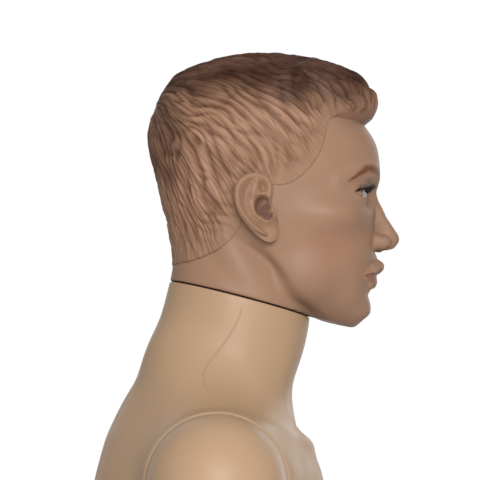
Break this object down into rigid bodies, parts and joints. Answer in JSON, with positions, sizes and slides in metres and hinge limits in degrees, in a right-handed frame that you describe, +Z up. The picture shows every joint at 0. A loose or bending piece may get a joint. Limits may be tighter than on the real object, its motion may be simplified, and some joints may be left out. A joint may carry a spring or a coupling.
{
  "type": "display mannequin torso with head",
  "caption": "Male display torso with a turning, lift-off moulded head, upper-arm stumps on friction hubs, and a telescopic post on a round steel base.",
  "frame": {"origin": "on the floor, on the post's axis, at the middle of the round base", "axes": "+Z up along the post, the face looks towards -Y, the mannequin's left hand side is +X"},
  "size_m": [0.5086, 0.4, 1.539],
  "materials": {
    "torso_plastic": "moulded polyethylene, warm sand tan, soft satin sheen",
    "head_vinyl": "painted moulded shell, darker skin tan, airbrushed hair and make-up",
    "eye_acrylic": "polished acrylic with a blue-grey iris",
    "lash_fibre": "black lash fibre",
    "board": "sealed fibreboard",
    "chrome_tube": "polished chrome plate",
    "base_steel": "brushed steel plate",
    "zinc_steel": "bright zinc plate",
    "spring_steel": "dark hardened spring steel",
    "black_plastic": "black moulded nylon",
    "nylon": "natural nylon",
    "foot_rubber": "black rubber"
  },
  "bodies": {
    "base": {"base_plate": "base_steel", "rubber_feet": "foot_rubber", "foot_screws": "zinc_steel", "base_bolt": "zinc_steel", "base_bolt_washer": "zinc_steel", "tube_foot_plug": "zinc_steel", "base_socket": "chrome_tube", "base_socket_screws": "zinc_steel", "outer_tube": "chrome_tube", "guide_bush": "nylon", "clamp_collar": "chrome_tube"},
    "height_clamp": {"height_knob": "black_plastic"},
    "post": {"inner_post": "chrome_tube", "post_top_plug": "black_plastic", "post_slide_foot": "nylon"},
    "torso": {"torso_shell": "torso_plastic", "torso_bottom_board": "board", "bottom_board_screws": "zinc_steel", "post_socket": "zinc_steel", "post_socket_screws": "zinc_steel", "post_socket_cap": "zinc_steel", "neck_socket_plate": "zinc_steel", "neck_socket_screws": "zinc_steel", "left_arm_socket_plate": "zinc_steel", "left_arm_socket_screws": "zinc_steel", "right_arm_socket_plate": "zinc_steel", "right_arm_socket_screws": "zinc_steel"},
    "swivel_clamp": {"swivel_knob": "black_plastic"},
    "neck_hub": {"neck_stud": "zinc_steel", "neck_thrust_washer": "nylon", "neck_friction_washer": "nylon", "neck_disc_spring": "spring_steel", "neck_lock_nut": "zinc_steel"},
    "head": {"head_shell": "head_vinyl", "left_eye": "eye_acrylic", "right_eye": "eye_acrylic", "left_eyelashes": "lash_fibre", "right_eyelashes": "lash_fibre", "neck_hub_plate": "zinc_steel", "neck_hub_screws": "zinc_steel"},
    "left_arm_hub": {"left_arm_stud": "zinc_steel", "left_arm_thrust_washer": "nylon", "left_arm_friction_washer": "nylon", "left_arm_disc_spring": "spring_steel", "left_arm_lock_nut": "zinc_steel"},
    "left_arm": {"left_arm_shell": "torso_plastic", "left_arm_cap": "board", "left_arm_hub_plate": "zinc_steel", "left_arm_hub_screws": "zinc_steel"},
    "right_arm_hub": {"right_arm_stud": "zinc_steel", "right_arm_thrust_washer": "nylon", "right_arm_friction_washer": "nylon", "right_arm_disc_spring": "spring_steel", "right_arm_lock_nut": "zinc_steel"},
    "right_arm": {"right_arm_shell": "torso_plastic", "right_arm_cap": "board", "right_arm_hub_plate": "zinc_steel", "right_arm_hub_screws": "zinc_steel"}
  },
  "joints": [
    {"name": "height_slide", "type": "slide", "parent": "base", "child": "post", "axis": [0, 0, 1], "range_m": [0, 0.26]},
    {"name": "height_knob_turn", "type": "hinge", "parent": "base", "child": "height_clamp", "pos_m": [0, 0.045, 0.504], "axis": [0, 1, 0], "continuous": true},
    {"name": "torso_swivel", "type": "hinge", "parent": "post", "child": "torso", "pos_m": [0, 0, 0.62], "axis": [0, 0, 1], "continuous": true},
    {"name": "swivel_knob_turn", "type": "hinge", "parent": "torso", "child": "swivel_clamp", "pos_m": [0, 0.045, 0.596], "axis": [0, 1, 0], "continuous": true},
    {"name": "head_lift", "type": "slide", "parent": "torso", "child": "neck_hub", "axis": [0, -0.2504, 0.9681], "range_m": [0, 0.035]},
    {"name": "head_turn", "type": "hinge", "parent": "neck_hub", "child": "head", "pos_m": [0, -0.019, 1.3199], "axis": [0, -0.2504, 0.9681], "continuous": true},
    {"name": "left_arm_pull", "type": "slide", "parent": "torso", "child": "left_arm_hub", "axis": [1, 0, 0], "range_m": [0, 0.035]},
    {"name": "left_arm_turn", "type": "hinge", "parent": "left_arm_hub", "child": "left_arm", "pos_m": [0.148, 0, 1.156], "axis": [1, 0, 0], "continuous": true},
    {"name": "right_arm_pull", "type": "slide", "parent": "torso", "child": "right_arm_hub", "axis": [-1, 0, 0], "range_m": [0, 0.035]},
    {"name": "right_arm_turn", "type": "hinge", "parent": "right_arm_hub", "child": "right_arm", "pos_m": [-0.148, 0, 1.156], "axis": [-1, 0, 0], "continuous": true}
  ]
}
